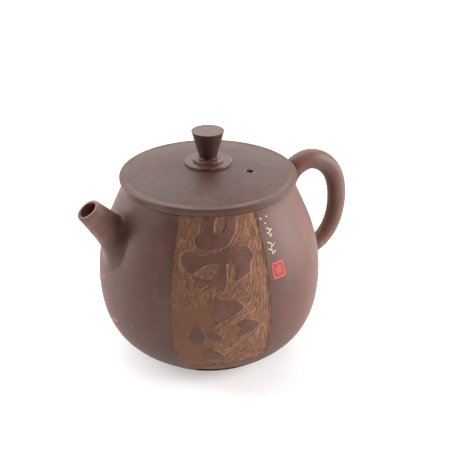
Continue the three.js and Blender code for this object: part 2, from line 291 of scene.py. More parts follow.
def move_centre(piece, height):
    """Lifts the middle of a fan to its own height."""
    bpy.ops.object.mode_set(mode="OBJECT")
    centre = min(piece.data.vertices, key=lambda v: math.hypot(v.co.x, v.co.y))
    centre.co.z = height * MM
    bpy.ops.object.mode_set(mode="EDIT")


def select_ring(piece, point):
    """Selects the edges of the ring at one outline point."""
    bpy.ops.mesh.select_all(action="DESELECT")
    bpy.ops.object.mode_set(mode="OBJECT")
    on_ring = [
        abs(math.hypot(v.co.x, v.co.y) - point.x * MM) < 1e-7 and abs(v.co.z - point.y * MM) < 1e-7
        for v in piece.data.vertices
    ]
    for edge in piece.data.edges:
        edge.select = all(on_ring[i] for i in edge.vertices)
    bpy.ops.object.mode_set(mode="EDIT")


def cut(piece, cutter):
    """Takes the cutter's shape out of a piece."""
    start_alone()
    modifier = piece.modifiers.new("cut", "BOOLEAN")
    modifier.operation = "DIFFERENCE"
    modifier.solver = "EXACT"
    modifier.object = cutter
    bpy.context.view_layer.objects.active = piece
    piece.select_set(True)
    bpy.ops.object.modifier_apply(modifier=modifier.name)
    bpy.data.objects.remove(cutter)
    bpy.ops.object.shade_smooth_by_angle(angle=math.radians(40))


def join(name, pieces):
    start_alone()
    for piece in pieces:
        piece.select_set(True)
    bpy.context.view_layer.objects.active = pieces[0]
    if len(pieces) > 1:
        bpy.ops.object.join()
    return new_piece(name)


def mark_root(piece):
    """Keeps each point's height over the wall, in millimetres, for the painted shading at a limb's root."""
    heights = [height_over_wall(vertex.co / MM) for vertex in piece.data.vertices]
    layer = piece.data.attributes.new("over_wall", "FLOAT", "POINT")
    layer.data.foreach_set("value", np.array(heights, np.float32))


def dress(piece, material, body, slot, *nodes):
    """Gives a finished piece its material, its body and the nodes that it stands for; the slot is not used."""
    piece.data.materials.clear()
    piece.data.materials.append(material)
    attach(piece, body)
    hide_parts(*nodes)
    return piece


# ---------- shader maths ----------


class Signal:
    """A shader socket that takes part in arithmetic: each operator adds its Math node."""

    def __init__(self, tree, socket):
        self.tree = tree
        self.socket = socket

    def math(self, operation, *values, **options):
        inputs = dict(enumerate(values))
        return add_node(self.tree, "ShaderNodeMath", dict(operation=operation, **options), inputs)

    def __add__(self, other):
        return self.math("ADD", self, other)

    def __sub__(self, other):
        return self.math("SUBTRACT", self, other)

    def __rsub__(self, other):
        return self.math("SUBTRACT", other, self)

    def __mul__(self, other):
        return self.math("MULTIPLY", self, other)

    __radd__ = __add__
    __rmul__ = __mul__

    def output(self, name):
        return Signal(self.tree, self.socket.node.outputs[name])


def add_node(tree, kind, options, inputs, output=0):
    """Adds a node with its settings, then links or sets its sockets, and gives one output."""
    node = tree.nodes.new(kind)
    for name, value in options.items():
        setattr(node, name, value)
    for key, value in inputs.items():
        if isinstance(value, Signal):
            tree.links.new(value.socket, node.inputs[key])
        else:
            node.inputs[key].default_value = value
    return Signal(tree, node.outputs[output])


class Shader:
    """A material under construction, with the few nodes that the clays share."""

    def __init__(self, name):
        self.material = bpy.data.materials.new(name)
        self.material.use_nodes = True
        self.tree = self.material.node_tree
        self.surface = self.tree.nodes["Principled BSDF"]
        self.place = self.node("ShaderNodeTexCoord", output="Object")

    def node(self, kind, options=None, output=0, **inputs):
        return add_node(self.tree, kind, options or {}, inputs, output)

    def attribute(self, name):
        return self.node("ShaderNodeAttribute", {"attribute_name": name}, output="Fac")

    def noise(self, vector, size, detail=3.0, roughness=0.55, distortion=0.0):
        """Noise with features of a size in millimetres."""
        return self.node(
            "ShaderNodeTexNoise",
            Vector=vector,
            Scale=1 / (size * MM),
            Detail=detail,
            Roughness=roughness,
            Distortion=distortion,
        )

    def ramp(self, value, low, high, start=0.0, end=1.0):
        """A smooth rise from start to end as value goes from low to high."""
        options = {"interpolation_type": "SMOOTHSTEP"}
        names = ("Value", "From Min", "From Max", "To Min", "To Max")
        inputs = dict(zip(names, (value, low, high, start, end)))
        return add_node(self.tree, "ShaderNodeMapRange", options, inputs)

    def mix(self, amount, first, second):
        """A colour between two others."""
        options = {"data_type": "RGBA", "clamp_factor": True}
        inputs = {0: amount, 6: rgba(first), 7: rgba(second)}
        return add_node(self.tree, "ShaderNodeMix", options, inputs, 2)

    def scaled(self, vector, scale):
        return self.node("ShaderNodeMapping", Vector=vector, Scale=scale)

    def vector_maths(self, operation, *vectors, output=0):
        inputs = dict(enumerate(vectors))
        return add_node(self.tree, "ShaderNodeVectorMath", {"operation": operation}, inputs, output)

    def bump(self, height, distance, strength=1.0, normal=None):
        inputs = {"Height": height, "Distance": distance * MM, "Strength": strength}
        if normal:
            inputs["Normal"] = normal
        return add_node(self.tree, "ShaderNodeBump", {}, inputs)

    def finish(self, **inputs):
        for name, value in inputs.items():
            socket = self.surface.inputs[name.replace("_", " ")]
            if isinstance(value, Signal):
                self.tree.links.new(value.socket, socket)
            else:
                socket.default_value = value
        return self.material


def rgba(value):
    return value if isinstance(value, Signal) else (*value, 1.0)


# ---------- materials ----------


def axis_distance(shader, x=0.0, y=0.0):
    """Distance from an upright axis, in metres."""
    centred = shader.node("ShaderNodeMapping", Vector=shader.place, Location=(-x * MM, -y * MM, 0))
    flat = shader.vector_maths("MULTIPLY", centred, (1, 1, 0))
    return flat, shader.vector_maths("LENGTH", flat, output="Value")


def turning_marks(shader):
    """Streaks that run round the axis, as a wet rib leaves them."""
    fine, spread = 1.3, 7.0
    flat, radius = axis_distance(shader)
    around = shader.vector_maths("NORMALIZE", flat)
    direction = shader.node("ShaderNodeSeparateXYZ", Vector=around)
    height = shader.node("ShaderNodeSeparateXYZ", output="Z", Vector=shader.place)
    vector = shader.node(
        "ShaderNodeCombineXYZ",
        X=direction.output("X") * spread,
        Y=direction.output("Y") * spread,
        Z=(radius + height) * (1 / fine / MM),
    )
    return shader.node("ShaderNodeTexNoise", Vector=vector, Scale=1.0, Detail=3.0, Roughness=0.6)


def clay(
    name,
    marks=turning_marks,
    ash=0.5,
    blush=0.5,
    streak=0.2,
    roughness=0.5,
    specular=0.3,
    tone=None,
    wear_and_highlight=None,
):
    """Burnished purple clay: clouded, faintly streaked and finely grained.

    tone gives the painted light and shade as a signal of the shader, and the wear argument how far the clay is
    rubbed to a paler red; on the knob's steps it also paints a highlight."""
    tones = bpy.context.scene.teapot_clay
    shader = Shader(name)
    streaks = marks(shader)
    upright = shader.scaled(shader.place, (1, 1, 0.5))
    broad = shader.noise(upright, 15.0, 4.0, 0.55, 0.4)
    patch = shader.noise(upright, 8.0, 4.0, 0.6, 0.6)
    fine = shader.noise(shader.place, 0.45, 2.0, 0.6)
    redness = shader.ramp(patch * 0.85 + streaks * 0.15, 0.47, 0.66) * blush
    greyness = shader.ramp(broad * 0.85 + streaks * 0.15, 0.40, 0.62) * ash
    body = shader.mix(greyness, tones.base, tones.ash)
    body = shader.mix(redness, body, tones.blush)
    tint = (streaks - 0.5) * streak + (fine - 0.5) * 0.10 + 1
    # tone paints light and shade into the clay's colour.
    if tone:
        tint = tint * tone(shader)
    body = shader.node("ShaderNodeVectorMath", {"operation": "SCALE"}, Scale=tint, Vector=body)
    # Rubbed, paler red clay, which on the knob's steps is also a painted highlight.
    if wear_and_highlight:
        body = shader.mix(wear_and_highlight(shader), body, tones.wear_and_highlight)
    speck = shader.node(
        "ShaderNodeTexVoronoi", output="Distance", Vector=shader.place, Scale=1 / (11 * MM)
    )
    body = shader.mix(shader.ramp(speck, 0.02, 0.034, 0.4, 0.0), body, tones.cream)
    bumps = shader.bump(fine, 0.018)
    bumps = shader.bump(streaks, 0.05, normal=bumps)
    bumps = shader.bump(broad, 0.5, 0.5, normal=bumps)
    gloss = (fine - 0.5) * 0.10 + (broad - 0.5) * 0.14 + roughness
    return shader.finish(Base_Color=body, Roughness=gloss, Normal=bumps, Specular_IOR_Level=specular)


def panel_clay():
    """The carved ground in lighter clay, with the smooth islands in the pot's own clay, painted highlights on
    the chisel ridges and the islands' edges, and painted shade in the grooves.
    """
    tones = bpy.context.scene.teapot_clay
    shader = Shader("panel_clay")
    island = shader.attribute("island")
    edge = shader.attribute("edge")
    cut_depth = shader.attribute("cut")
    warm = shader.attribute("warm")
    patch = shader.noise(shader.place, 8.0, 4.0, 0.6, 0.6)
    fine = shader.noise(shader.place, 0.5, 3.0, 0.6)
    # Painted highlight on the chisel ridges and painted shade at the bottom of the strokes.
    ground = shader.mix(shader.ramp(cut_depth, 0.0, 0.3), tones.ridge, tones.ground)
    ground = shader.mix(shader.ramp(cut_depth, 0.62, 1.05), ground, tones.groove)
    ground = shader.mix(warm * 0.7, ground, tones.rust)
    body = shader.mix(shader.ramp(patch, 0.4, 0.65), tones.base, tones.blush)
    body = shader.mix(0.3, body, tones.ash)
    whole = shader.mix(island, ground, body)
    # Painted highlight along the islands' edges.
    whole = shader.mix(edge * 0.8, whole, tones.ridge)
    tint = 1 + (fine - 0.5) * 0.3 + (patch - 0.5) * 0.25
    whole = shader.node("ShaderNodeVectorMath", {"operation": "SCALE"}, Scale=tint, Vector=whole)
    bumps = shader.bump(fine, 0.08)
    gloss = 0.78 - island * 0.22
    return shader.finish(Base_Color=whole, Roughness=gloss, Normal=bumps, Specular_IOR_Level=0.25)


def slip(name, tone):
    """Matt slip, a little uneven where the brush left it thin."""
    shader = Shader(name)
    wear = shader.noise(shader.place, 0.8, 3.0, 0.7)
    body = shader.mix(shader.ramp(wear, 0.45, 0.8, 0.0, 0.45), tone, bpy.context.scene.teapot_clay.base)
    return shader.finish(Base_Color=body, Roughness=0.7, Normal=shader.bump(wear, 0.05))


def pot_clay():
    """The clay of the belly, with its painted shading, made once and shared by the pieces of the pot."""
    return bpy.data.materials.get("pot_clay") or clay("pot_clay", tone=belly_painted_shading)


def belly_painted_shading(shader):
    """Painted shading: the belly is darker on the spout's side and paler towards the handle, as the light
    falls.
    """
    across = shader.node("ShaderNodeSeparateXYZ", output="X", Vector=shader.place)
    return shader.ramp(across, 0.0, 0.03, 0.78, 1.08)


def spout_painted_shading(shader):
    """Painted shading: the spout is painted paler than the belly, and darker at the root, where it meets the
    belly's painted shade, and at the lip.
    """
    across = shader.node("ShaderNodeSeparateXYZ", output="X", Vector=shader.place)
    lip = shader.ramp(across, -56.5 * MM, -52 * MM, 0.4, 1.0)
    return shader.ramp(shader.attribute("over_wall"), 1.0, 9.0, 0.66, 1.65) * lip


def handle_painted_shading(shader):
    """Painted shading: the handle is painted paler towards its foot, and takes on the belly's painted shade at
    its roots.
    """
    height = shader.node("ShaderNodeSeparateXYZ", output="Z", Vector=shader.place)
    root = shader.ramp(shader.attribute("over_wall"), 0.3, 4.0, 1.2, 1.3)
    return root * shader.ramp(height, 30 * MM, 72 * MM, 1.15, 0.85)


def lid_painted_shade(shader):
    """Painted shade: the lid is darker round the knob, where the knob shades it."""
    return shader.ramp(axis_distance(shader)[1], 9 * MM, 30 * MM, 0.50, 0.64)


def lid_wear(shader):
    """Red clay shows along the lid's crease and round the vent."""
    radius = axis_distance(shader)[1] * (1 / MM)
    vent = axis_distance(shader, *VENT)[1] * (1 / MM)
    breaks = shader.ramp(shader.noise(shader.place, 7.0, 3.0), 0.42, 0.62)
    crease = shader.ramp(radius.math("ABSOLUTE", radius - CREASE), 0.2, 0.9, 0.16, 0.0) * breaks
    corner = shader.ramp(radius.math("ABSOLUTE", radius - (LID_RADIUS - 0.35)), 0.0, 0.5, 0.1, 0.0)
    return crease + corner + shader.ramp(vent, 1.75, 2.2, 0.45, 0.0)


def edge_wear_and_highlight(reach):
    """Red clay shows here and there at the rubbed outer edge of a step, and the paler red also paints a
    highlight along that edge.
    """

    def wear(shader):
        radius = axis_distance(shader)[1]
        breaks = shader.ramp(shader.noise(shader.place, 5.0, 2.0), 0.36, 0.62, 0.15, 1.0)
        return shader.ramp(radius, (reach - 0.6) * MM, (reach - 0.1) * MM, 0.05, 0.5) * breaks

    return wear


def knob_painted_shading(shader):
    """Painted shading: the knob's side is painted dark and its top as pale as the lid, as the light from above
    falls on them.
    """
    height = shader.node("ShaderNodeSeparateXYZ", output="Z", Vector=shader.place)
    return shader.ramp(height, (KNOB_HIGH.z - 0.5) * MM, (KNOB_HIGH.z - 0.1) * MM, 0.42, 0.75)


def lid_clay():
    shade = dict(ash=1.0, blush=0.45, streak=0.3, roughness=0.46, specular=0.2)
    return bpy.data.materials.get("lid_clay") or clay("lid_clay", tone=lid_painted_shade, wear_and_highlight=lid_wear, **shade)


# ---------- pot ----------

PANEL_TURN = math.radians(-18.5)
PANEL_HALF = math.radians(25)
RECESS = 1.25


def wall_turns():
    """Column angles round the wall, with close pairs at the panel's two edges."""
    sides = settings().sides
    edges = (PANEL_TURN - PANEL_HALF, PANEL_TURN + PANEL_HALF)
    turns = [2 * math.pi * i / sides - math.pi for i in range(sides)]
    clear = 2 * math.pi / sides / 3
    turns = [turn for turn in turns if min(abs(turn - edge) for edge in edges) > clear]
    for edge, outwards, joint in zip(edges, (-1, 1), (0.0004, 0.0022)):
        turns += [edge + outwards * offset for offset in (0.006, joint, 0)]
    return sorted(turns)


def recess_depth(turn):
    """How far the wall is cut back for the panel."""
    inside = PANEL_HALF - abs(turn - PANEL_TURN)
    return RECESS if inside > -1e-6 else 0


class TEAPOT_OT_wall(Operator):
    """Builds the belly wall with its panel recess, the base and the ring inside the mouth"""

    bl_idname = "teapot.wall"
    bl_label = "Wall"

    def execute(self, context):
        turns = wall_turns()
        wall = settings().wall / MM
        mouth = settings().mouth / MM
        bottom = BASE_HIGH.z - 0.1
        edge = 0.2
        outer = [(height, 0) for height in steps(64, bottom, RIM - edge)]
        top = [
            (RIM - edge * (1 - math.sin(a)), edge * (1 - math.cos(a)))
            for a in steps(5, 0.2, math.pi / 2)
        ]
        inner = [(height, wall) for height in steps(44, RIM, bottom)]
        rows = outer + top + inner
        rings = [
            [wall_point(turn, height, max(depth, recess_depth(turn))) for turn in turns]
            for height, depth in rows
        ]
        body = loft("body_wall_clay", rings + rings[:1])
        cut(body, bore_cutter())
        dress(body, pot_clay(), "pot", "purple_clay", "body_wall")

        foot = settings().foot / MM
        side = [(wall_radius(height), height) for height in steps(6, 0.7, bottom + 0.1)]
        base = turned(
            "base_disc_clay",
            [
                (0, 0),
                (10, 0),
                (foot - 0.1, 0, 0.5),
                *side,
                (wall_radius(bottom) - 1, bottom + 0.1),
                (0, bottom),
            ],
        )
        dress(base, pot_clay(), "pot", "purple_clay", "base_disc")

        low = RING_LOW.z
        outside = wall_radius(RIM) - wall + 0.2
        ring = turned(
            "mouth_ring_clay",
            [
                (mouth, low, 0.6),
                (wall_radius(low) - wall + 0.2, low),
                (outside, RIM - 0.02),
                (mouth, RIM - 0.02, 0.5),
            ],
            closed=True,
        )
        dress(ring, pot_clay(), "pot", "purple_clay", "mouth_ring")
        return {"FINISHED"}


# ---------- spout ----------

SPOUT_LIP = Vector((-51.6, 0, 71))
SPOUT_RISE = math.radians(50.4)
SPOUT_LIP_TILT = math.radians(4.4)
SPOUT_AXIS = Vector((-math.cos(SPOUT_RISE), 0, math.sin(SPOUT_RISE)))
SPOUT_OVER = Vector((math.sin(SPOUT_RISE), 0, math.cos(SPOUT_RISE)))
SPOUT_SIDE = Vector((0, 1, 0))
SPOUT_RADIUS = 4.95
SPOUT_TAPER = 0.127
BORE_FULL = 5.0
BORE_TAPER_LENGTH = 12.0


def spout_point(turn, run, radius):
    """A point beside the spout's axis, at a run from the lip. The lip leans back a little."""
    lean = radius * math.sin(turn) * math.tan(SPOUT_LIP_TILT) * max(0, 1 - run / 8)
    outwards = SPOUT_SIDE * math.cos(turn) + SPOUT_OVER * math.sin(turn)
    return SPOUT_LIP - SPOUT_AXIS * (run + lean) + outwards * radius


def bore_radius(run):
    lip = settings().bore / MM
    return lip + (BORE_FULL - lip) * min(1, run / BORE_TAPER_LENGTH)


def bore_cutter():
    """A bar through the wall, where the bore goes in."""
    start_alone()
    middle = SPOUT_LIP - SPOUT_AXIS * 18
    bpy.ops.mesh.primitive_cylinder_add(
        vertices=48,
        radius=BORE_FULL * MM,
        depth=22 * MM,
        location=middle * MM,
        rotation=(0, SPOUT_RISE - math.pi / 2, 0),
    )
    return new_piece("bore_cutter")


def wall_crossing(point_at, low, high):
    """The run at which a line of points goes into the wall, found by halving."""
    for _ in range(30):
        middle = (low + high) / 2
        if height_over_wall(point_at(middle)) > 0:
            low = middle
        else:
            high = middle
    return (low + high) / 2


def fillet(start, crossing, centre, reach, count=10):
    """Points from a limb's side to the wall, tangent to both."""
    normal = wall_normal(crossing)
    away = crossing - centre
    away = (away - normal * away.dot(normal)).normalized()
    end = on_wall(crossing + away * reach, 0.02)
    return [(1 - t) ** 2 * start + 2 * (1 - t) * t * crossing + t**2 * end for t in steps(count)]


class TEAPOT_OT_spout(Operator):
    """Builds the straight spout, with its bore, its rounded lip and its soft root"""

    bl_idname = "teapot.spout"
    bl_label = "Spout"

    def execute(self, context):
        columns = [self.column(2 * math.pi * i / 72) for i in range(72)]
        rings = [list(ring) for ring in zip(*columns)]
        piece = loft("spout_clay", rings + rings[:1])
        mark_root(piece)
        finish = dict(ash=0.8, blush=0.3, streak=0.4, roughness=0.44, specular=0.2)
        # The spout's tone is painted shading.
        spout = clay("spout_clay", tone=spout_painted_shading, **finish)
        dress(piece, spout, "pot", "purple_clay", "spout")
        return {"FINISHED"}

    def column(self, turn):
        """One line of points: up the bore, over the lip, down the side and out onto the wall."""
        side = lambda run: SPOUT_RADIUS + SPOUT_TAPER * run
        edge = 0.45
        inner_end = wall_crossing(lambda run: spout_point(turn, run, BORE_FULL), 5, 30) + 1.5
        bore = [spout_point(turn, run, bore_radius(run)) for run in steps(14, inner_end, edge)]
        arc = steps(5, 0.15, math.pi / 2)
        lip_in = [
            spout_point(turn, edge * (1 - math.sin(a)), bore_radius(0) + edge * (1 - math.cos(a)))
            for a in arc
        ]
        lip_out = [
            spout_point(turn, edge * (1 - math.sin(a)), side(0) - edge * (1 - math.cos(a)))
            for a in reversed(arc)
        ]
        under = (1 - math.sin(turn)) / 2
        crossing = wall_crossing(lambda run: spout_point(turn, run, side(run)), 3, 40)
        reach = 3.2 + 5.5 * under**1.5
        lead = min(2.6 + 7.0 * under**1.5, crossing - 3)
        start = spout_point(turn, crossing - lead, side(crossing - lead))
        cone = [spout_point(turn, run, side(run)) for run in steps(16, edge * 1.2, crossing - lead)]
        meet = spout_point(turn, crossing, side(crossing))
        root = fillet(start, meet, SPOUT_LIP - SPOUT_AXIS * crossing, reach, 14)
        return bore + lip_in + lip_out + cone + root[1:] + [on_wall(root[-1], 1.2)]


class TEAPOT_OT_strainer(Operator):
    """Builds the perforated dome over the inner end of the bore"""

    bl_idname = "teapot.strainer"
    bl_label = "Strainer"

    def execute(self, context):
        radius, rise, thickness = 8.0, 3.4, 1.4
        sphere = (radius**2 + rise**2) / (2 * rise)
        span = math.asin(radius / sphere)
        drop = rise - sphere
        cap = lambda size, angles: [(size * math.sin(a), size * math.cos(a) + drop) for a in angles]
        inner = cap(sphere - thickness, steps(12, 0, span))
        outer = cap(sphere, steps(14, span, 0))
        edge = (outer[0][0] + 0.3, outer[0][1] - 0.6)
        piece = turned("spout_strainer_clay", [*inner, edge, *outer], sides=64)
        cut(piece, self.holes())
        tilt = math.radians(21)
        start_alone()
        piece.select_set(True)
        bpy.context.view_layer.objects.active = piece
        piece.rotation_euler = (0, math.pi / 2 + tilt, 0)
        piece.location = Vector((-38.4, 0, 55)) * MM
        bpy.ops.object.transform_apply(location=True, rotation=True)
        dress(piece, pot_clay(), "pot", "purple_clay", "spout_strainer")
        return {"FINISHED"}

    def holes(self):
        bars = []
        for count, reach in ((1, 0), (6, 2.2), (10, 4.4)):
            for i in range(count):
                angle = 2 * math.pi * i / count
                start_alone()
                place = (reach * math.cos(angle) * MM, reach * math.sin(angle) * MM, 0)
                bpy.ops.mesh.primitive_cylinder_add(
                    vertices=20, radius=0.8 * MM, depth=12 * MM, location=place
                )
                bars.append(bpy.context.active_object)
        return join("strainer_holes", bars)


# ---------- handle ----------

HANDLE_POINTS = (
    (32, 59.5),
    (34.8, 64),
    (39.2, 71.1),
    (46.2, 74.2),
    (53.3, 72),
    (59, 65.4),
    (61.3, 54),
    (59.1, 42),
    (53.8, 34.9),
    (45.6, 30.6),
    (41, 29.4),
)


def smooth_line(points, count):
    """A centripetal curve through flat points, at even runs."""
    pts = [np.array(p, float) for p in points]
    pts = [2 * pts[0] - pts[1], *pts, 2 * pts[-1] - pts[-2]]
    line = []
    for a, b, c, d in zip(pts, pts[1:], pts[2:], pts[3:]):
        ta = 0
        tb = ta + np.linalg.norm(b - a) ** 0.5
        tc = tb + np.linalg.norm(c - b) ** 0.5
        td = tc + np.linalg.norm(d - c) ** 0.5
        for t in np.linspace(tb, tc, 24, endpoint=False):
            ab = ((tb - t) * a + (t - ta) * b) / (tb - ta)
            bc = ((tc - t) * b + (t - tb) * c) / (tc - tb)
            cd = ((td - t) * c + (t - tc) * d) / (td - tc)
            abc = ((tc - t) * ab + (t - ta) * bc) / (tc - ta)
            bcd = ((td - t) * bc + (t - tb) * cd) / (td - tb)
            line.append(((tc - t) * abc + (t - tb) * bcd) / (tc - tb))
    line = np.array([*line, pts[-2]])
    runs = np.concatenate(((0,), np.cumsum(np.linalg.norm(np.diff(line, axis=0), axis=1))))
    even = np.linspace(0, runs[-1], count)
    return np.stack([np.interp(even, runs, line[:, i]) for i in (0, 1)], axis=1), runs[-1]


class TEAPOT_OT_handle(Operator):
    """Builds the round loop handle, thinner towards its foot, with both roots drawn onto the wall"""

    bl_idname = "teapot.handle"
    bl_label = "Handle"

    def execute(self, context):
        self.line, self.length = smooth_line(HANDLE_POINTS, 600)
        self.tangents = np.gradient(self.line, axis=0)
        self.tangents /= np.linalg.norm(self.tangents, axis=1)[:, None]
        columns = [self.column(2 * math.pi * i / 56) for i in range(56)]
        rings = [list(ring) for ring in zip(*columns)]
        ends = [[sum(ring, Vector()) / len(ring)] * len(ring) for ring in (rings[0], rings[-1])]
        piece = loft("handle_clay", [ends[0], *rings, ends[1]])
        mark_root(piece)
        # The handle's tone is painted shading.
        handle = clay("handle_clay", loop_marks, ash=0.8, streak=0.35, tone=handle_painted_shading)
        dress(piece, handle, "pot", "purple_clay", "handle")
        return {"FINISHED"}

    def centre(self, run):
        place = run * (len(self.line) - 1)
        index = range(len(self.line))
        x, z = (np.interp(place, index, self.line[:, i]) for i in (0, 1))
        tx, tz = (np.interp(place, index, self.tangents[:, i]) for i in (0, 1))
        return Vector((x, 0, z)), Vector((-tz, 0, tx))

    def point(self, turn, run):
        centre, outwards = self.centre(run)
        radius = float(np.interp(run, (0, 0.5, 1), (4.45, 4.1, 3.3)))
        return centre + (outwards * math.cos(turn) + SPOUT_SIDE * math.sin(turn)) * radius

    def column(self, turn):
        top = wall_crossing(lambda run: self.point(turn, run), 0.4, 0.0)
        foot = wall_crossing(lambda run: self.point(turn, run), 0.6, 1.0)
        upper = (1 + math.cos(turn)) / 2
        reach_top = 2.4 - 1.7 * upper
        reach_foot = 2.2
        lead_top = (2.6 - 1.4 * upper) / self.length
        lead_foot = 2.6 / self.length
        first, last = self.point(turn, top + lead_top), self.point(turn, foot - lead_foot)
        start = fillet(first, self.point(turn, top), self.centre(top)[0], reach_top, 7)
        end = fillet(last, self.point(turn, foot), self.centre(foot)[0], reach_foot, 7)
        bar = [self.point(turn, run) for run in steps(72, top + lead_top, foot - lead_foot)]
        return [on_wall(start[-1], 1.2), *start[:0:-1], *bar, *end[1:], on_wall(end[-1], 1.2)]


def loop_marks(shader):
    """Streaks that follow the handle round its loop."""
    centred = shader.node("ShaderNodeMapping", Vector=shader.place, Location=(-0.044, 0, -0.051))
    flat = shader.vector_maths("MULTIPLY", centred, (1, 0, 1))
    radius = shader.vector_maths("LENGTH", flat, output="Value")
    around = shader.vector_maths("NORMALIZE", flat)
    direction = shader.node("ShaderNodeSeparateXYZ", Vector=around)
    side = shader.node("ShaderNodeSeparateXYZ", output="Y", Vector=shader.place)
    vector = shader.node(
        "ShaderNodeCombineXYZ",
        X=direction.output("X") * 2.2 + side * 900,
        Y=direction.output("Z") * 2.2,
        Z=radius * 900,
    )
    return shader.node("ShaderNodeTexNoise", Vector=vector, Scale=1.0, Detail=3.0, Roughness=0.6)


# ---------- lid ----------

LID_RADIUS = LID_HIGH.x
LID_TOP = LID_LOW.z + 3.2
CREASE = 33.6
VENT = (12, -13.3)
DOME_RADIUS = 33.0
DOME_RISE = LID_HIGH.z - LID_TOP


def dome(radius):
    return LID_TOP + DOME_RISE * (1 - (radius / DOME_RADIUS) ** 2)


class TEAPOT_OT_lid(Operator):
    """Builds the domed lid with its round rim, its vent hole and the collar under it"""

    bl_idname = "teapot.lid"
    bl_label = "Lid"

    def execute(self, context):
        low = LID_LOW.z
        hollow_radius = FLANGE_HIGH.x - 3.2
        hollow = [(r, low + 4.4 * (1 - (r / hollow_radius) ** 4)) for r in steps(16, 0, hollow_radius)]
        rim = [
            (LID_RADIUS - 3.4, low - 0.27),
            (wall_radius(RIM) + 0.15, low - 0.27, 0.1),
            (wall_radius(RIM) + 0.45, low + 0.02, 0.2),
            (LID_RADIUS - 0.5, low + 0.35, 1.2),
            (LID_RADIUS, low + 1.9, 1.2),
            (LID_RADIUS - 0.15, LID_TOP - 0.08, 0.75),
        ]
        crease = [(r, LID_TOP - 0.09 * math.exp(-(((r - CREASE) / 0.4) ** 2))) for r in steps(10, 34.8, 33)]
        top = [(r, dome(r)) for r in steps(36, 32.4, 0)]
        plate = turned("lid_plate_clay", [*hollow, *rim, *crease, *top])
        cut(plate, self.vent())
        dress(plate, lid_clay(), "lid", "purple_clay", "lid_plate")

        inner = FLANGE_HIGH.x - 2.8
        flange = turned(
            "lid_flange_clay",
            [
                (inner, FLANGE_LOW.z, 0.5),
                (FLANGE_HIGH.x, FLANGE_LOW.z, 0.9),
                (FLANGE_HIGH.x, low + 0.1),
                (inner, low + 0.1),
            ],
            closed=True,
        )
        dress(flange, lid_clay(), "lid", "purple_clay", "lid_flange")
        return {"FINISHED"}

    def vent(self):
        """A round hole with a small chamfer at the top."""
        radius = 1.6
        height = dome(18)
        cutter = turned(
            "vent_cutter",
            [
                (0, 60),
                (radius, 60),
                (radius, height - 0.2),
                (radius + 0.4, height + 0.2),
                (radius + 0.4, 90),
                (0, 90),
            ],
            sides=40,
        )
        cutter.location = (VENT[0] * MM, VENT[1] * MM, 0)
        bpy.context.view_layer.update()
        return cutter


class TEAPOT_OT_knob(Operator):
    """Builds the tapered knob and the two low steps under it"""

    bl_idname = "teapot.knob"
    bl_label = "Knob"

    def execute(self, context):
        large, small = LARGE_STEP_HIGH, SMALL_STEP_HIGH
        under = [(r, dome(r) - 0.05) for r in steps(5, 0, large.x)]
        step = turned(
            "knob_step_large_clay",
            [*under, (large.x, large.z - 0.1, 0.28), (large.x - 0.7, large.z, 0.2), (0, large.z + 0.05)],
            sides=96,
        )
        # The steps take the lid's painted shade round the knob.
        rubbed = dict(blush=1.0, tone=lid_painted_shade, roughness=0.4)
        large_clay = clay("large_step_clay", wear_and_highlight=edge_wear_and_highlight(large.x), **rubbed)
        dress(step, large_clay, "lid", "purple_clay", "knob_step_large")
        step = turned(
            "knob_step_small_clay",
            [
                (0, large.z),
                (small.x, large.z - 0.05),
                (small.x, small.z - 0.1, 0.28),
                (small.x - 0.6, small.z, 0.2),
                (0, small.z),
            ],
            sides=96,
        )
        small_clay = clay("small_step_clay", wear_and_highlight=edge_wear_and_highlight(small.x), **rubbed)
        dress(step, small_clay, "lid", "purple_clay", "knob_step_small")
        foot, top = 3.45, KNOB_HIGH
        knob = turned(
            "knob_clay",
            [
                (0, small.z - 0.05),
                (foot + 0.35, small.z - 0.02),
                (foot + 0.02, small.z + 0.3, 0.2),
                (top.x - 0.06, top.z - 0.35),
                (top.x, top.z, 0.28),
                (1.2, top.z - 0.02),
                (0.7, top.z + 0.03),
                (0, top.z + 0.04),
            ],
            sides=96,
        )
        # The knob's side is painted dark and its top pale, as the light from above falls.
        knob_painted_clay = clay("knob_clay", ash=0.4, blush=0.3, roughness=0.42, tone=knob_painted_shading)
        dress(knob, knob_painted_clay, "lid", "purple_clay", "knob")
        return {"FINISHED"}


# ---------- carved panel ----------

